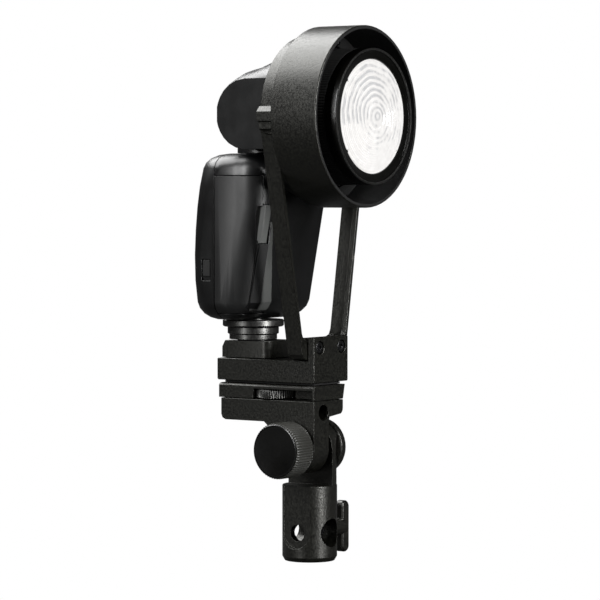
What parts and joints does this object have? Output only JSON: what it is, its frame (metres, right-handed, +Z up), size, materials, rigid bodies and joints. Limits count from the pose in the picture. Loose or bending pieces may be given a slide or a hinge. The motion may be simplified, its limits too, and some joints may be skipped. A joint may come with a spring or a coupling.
{
  "type": "round-head camera flash in ring adapter",
  "caption": "Battery camera flash with a round head, held by its shoe on a slab with two arms, an open front ring, a tilting bracket with umbrella hole and a stand socket.",
  "frame": {"origin": "centre of the stand socket's mouth, on the stand adapter's bottom face", "axes": "+Z up along the socket, -Y the way the light faces, +X towards the T-shaped stand screw"},
  "size_m": [0.1, 0.1033, 0.2965],
  "materials": {
    "anodised": "black anodised, fine satin",
    "flash_plastic": "black, fine grain",
    "battery_plastic": "black, smooth satin",
    "grey_plastic": "grey, satin",
    "rubber": "black, matte",
    "screw_steel": "black oxide",
    "bright_steel": "bare, satin",
    "brass": "bare",
    "lens_glass": "moulded Fresnel rings",
    "reflector": "bright vacuum coating",
    "tube_glass": "clear",
    "circuit_board": "green solder mask",
    "capacitor_sleeve": "dark sleeve",
    "screen": "polished black window"
  },
  "bodies": {
    "stand_base": {"stand_adapter": "anodised", "tilt_disc": "anodised", "tilt_bolt": "screw_steel", "friction_washer": "rubber"},
    "stand_screw": {"stand_screw_wing": "anodised", "stand_screw_shank": "screw_steel"},
    "knob": {"tilt_knob": "anodised"},
    "bracket": {"tilt_bracket": "anodised", "clamp_plate": "anodised", "clamp_screw_1": "screw_steel", "clamp_screw_2": "screw_steel", "grip_pad": "rubber", "base_slab": "anodised", "arm_frame": "anodised", "frame_screw_left": "screw_steel", "frame_screw_right": "screw_steel", "ring_screw_1": "screw_steel", "ring_screw_2": "screw_steel", "ring_screw_3": "screw_steel", "front_ring": "anodised", "shoe_block": "anodised", "shoe_screw_1": "screw_steel", "shoe_screw_2": "screw_steel"},
    "clamp_wheel": {"thumb_wheel": "anodised", "clamp_stud": "screw_steel"},
    "flash": {"foot": "flash_plastic", "centre_contact": "brass", "body_front_shell": "flash_plastic", "body_rear_cover": "flash_plastic", "focus_lamp_cover": "grey_plastic", "display_window": "screen", "data_socket": "bright_steel", "main_capacitor": "capacitor_sleeve", "power_board": "circuit_board", "control_board": "circuit_board", "battery_contacts": "brass", "swivel_bearing": "bright_steel"},
    "shoe_lock": {"lock_ring": "flash_plastic"},
    "shoe_pin": {"lock_pin": "bright_steel"},
    "battery": {"battery_pack": "battery_plastic"},
    "release": {"battery_release": "grey_plastic"},
    "flap": {"port_flap": "rubber"},
    "dial": {"control_dial": "rubber"},
    "set_key": {"set_button": "flash_plastic"},
    "test_key": {"test_button": "grey_plastic"},
    "menu_key": {"menu_button": "grey_plastic"},
    "power_key": {"power_button": "grey_plastic"},
    "swivel": {"neck": "flash_plastic"},
    "head": {"head_rear_shell": "flash_plastic", "head_barrel": "flash_plastic", "bezel": "anodised", "front_lens": "lens_glass", "tilt_axle": "bright_steel", "modelling_led": "circuit_board"},
    "zoom": {"zoom_ring": "rubber"},
    "lamp": {"reflector": "reflector", "flash_tube": "tube_glass", "zoom_carriage": "flash_plastic"}
  },
  "joints": [
    {"name": "stand_screw_turn", "type": "hinge", "parent": "stand_base", "child": "stand_screw", "pos_m": [0, 0, 0.016], "axis": [1, 0, 0], "range_deg": [-180, 180]},
    {"name": "knob_turn", "type": "hinge", "parent": "stand_base", "child": "knob", "pos_m": [0, 0, 0.063], "axis": [1, 0, 0], "range_deg": [-180, 180]},
    {"name": "bracket_tilt", "type": "hinge", "parent": "stand_base", "child": "bracket", "pos_m": [0, 0, 0.063], "axis": [1, 0, 0], "range_deg": [-60, 60]},
    {"name": "clamp_wheel_turn", "type": "hinge", "parent": "bracket", "child": "clamp_wheel", "pos_m": [-0.0055, 0.0185, 0.0926], "axis": [0, 0, 1], "range_deg": [-180, 180]},
    {"name": "shoe_slide", "type": "slide", "parent": "bracket", "child": "flash", "axis": [0, 1, 0], "range_m": [0, 0.012]},
    {"name": "lock_ring_turn", "type": "hinge", "parent": "flash", "child": "shoe_lock", "pos_m": [0, 0.0389, 0.131], "axis": [0, 0, 1], "range_deg": [0, 60]},
    {"name": "lock_pin_drop", "type": "slide", "parent": "flash", "child": "shoe_pin", "axis": [0, 0, -1], "range_m": [0, 0.0015]},
    {"name": "battery_slide", "type": "slide", "parent": "flash", "child": "battery", "axis": [-1, 0, 0], "range_m": [0, 0.012]},
    {"name": "release_press", "type": "slide", "parent": "flash", "child": "release", "axis": [0, 1, 0], "range_m": [0, 0.001], "stiffness_N_per_m": 400, "springref_m": -0.002},
    {"name": "flap_hinge", "type": "hinge", "parent": "flash", "child": "flap", "pos_m": [-0.0379, 0.044, 0.158], "axis": [0, -1, 0], "range_deg": [0, 100]},
    {"name": "dial_turn", "type": "hinge", "parent": "flash", "child": "dial", "pos_m": [0, 0.056, 0.164], "axis": [0, 1, 0], "continuous": true},
    {"name": "set_press", "type": "slide", "parent": "flash", "child": "set_key", "axis": [0, -1, 0], "range_m": [0, 0.0006], "stiffness_N_per_m": 500, "springref_m": -0.001},
    {"name": "test_press", "type": "slide", "parent": "flash", "child": "test_key", "axis": [0, -1, 0], "range_m": [0, 0.0006], "stiffness_N_per_m": 500, "springref_m": -0.001},
    {"name": "menu_press", "type": "slide", "parent": "flash", "child": "menu_key", "axis": [0, -1, 0], "range_m": [0, 0.0006], "stiffness_N_per_m": 500, "springref_m": -0.001},
    {"name": "power_press", "type": "slide", "parent": "flash", "child": "power_key", "axis": [0, -1, 0], "range_m": [0, 0.0006], "stiffness_N_per_m": 500, "springref_m": -0.001},
    {"name": "neck_swivel", "type": "hinge", "parent": "flash", "child": "swivel", "pos_m": [0, 0.03, 0.227], "axis": [0, 0, 1], "range_deg": [-2.5, 2.5]},
    {"name": "head_tilt", "type": "hinge", "parent": "swivel", "child": "head", "pos_m": [0, 0.0215, 0.2482], "axis": [1, 0, 0], "range_deg": [-3.2, 3.2]},
    {"name": "zoom_turn", "type": "hinge", "parent": "head", "child": "zoom", "pos_m": [0, 0, 0.2465], "axis": [0, 1, 0], "range_deg": [-45, 45]},
    {"name": "lamp_zoom", "type": "slide", "parent": "head", "child": "lamp", "axis": [0, 1, 0], "range_m": [-0.003, 0.003]}
  ],
  "couplings": [
    {"joint": "lock_pin_drop", "follows": "lock_ring_turn", "m_per_rad": 0.00143},
    {"joint": "lamp_zoom", "follows": "zoom_turn", "m_per_rad": 0.0038}
  ]
}
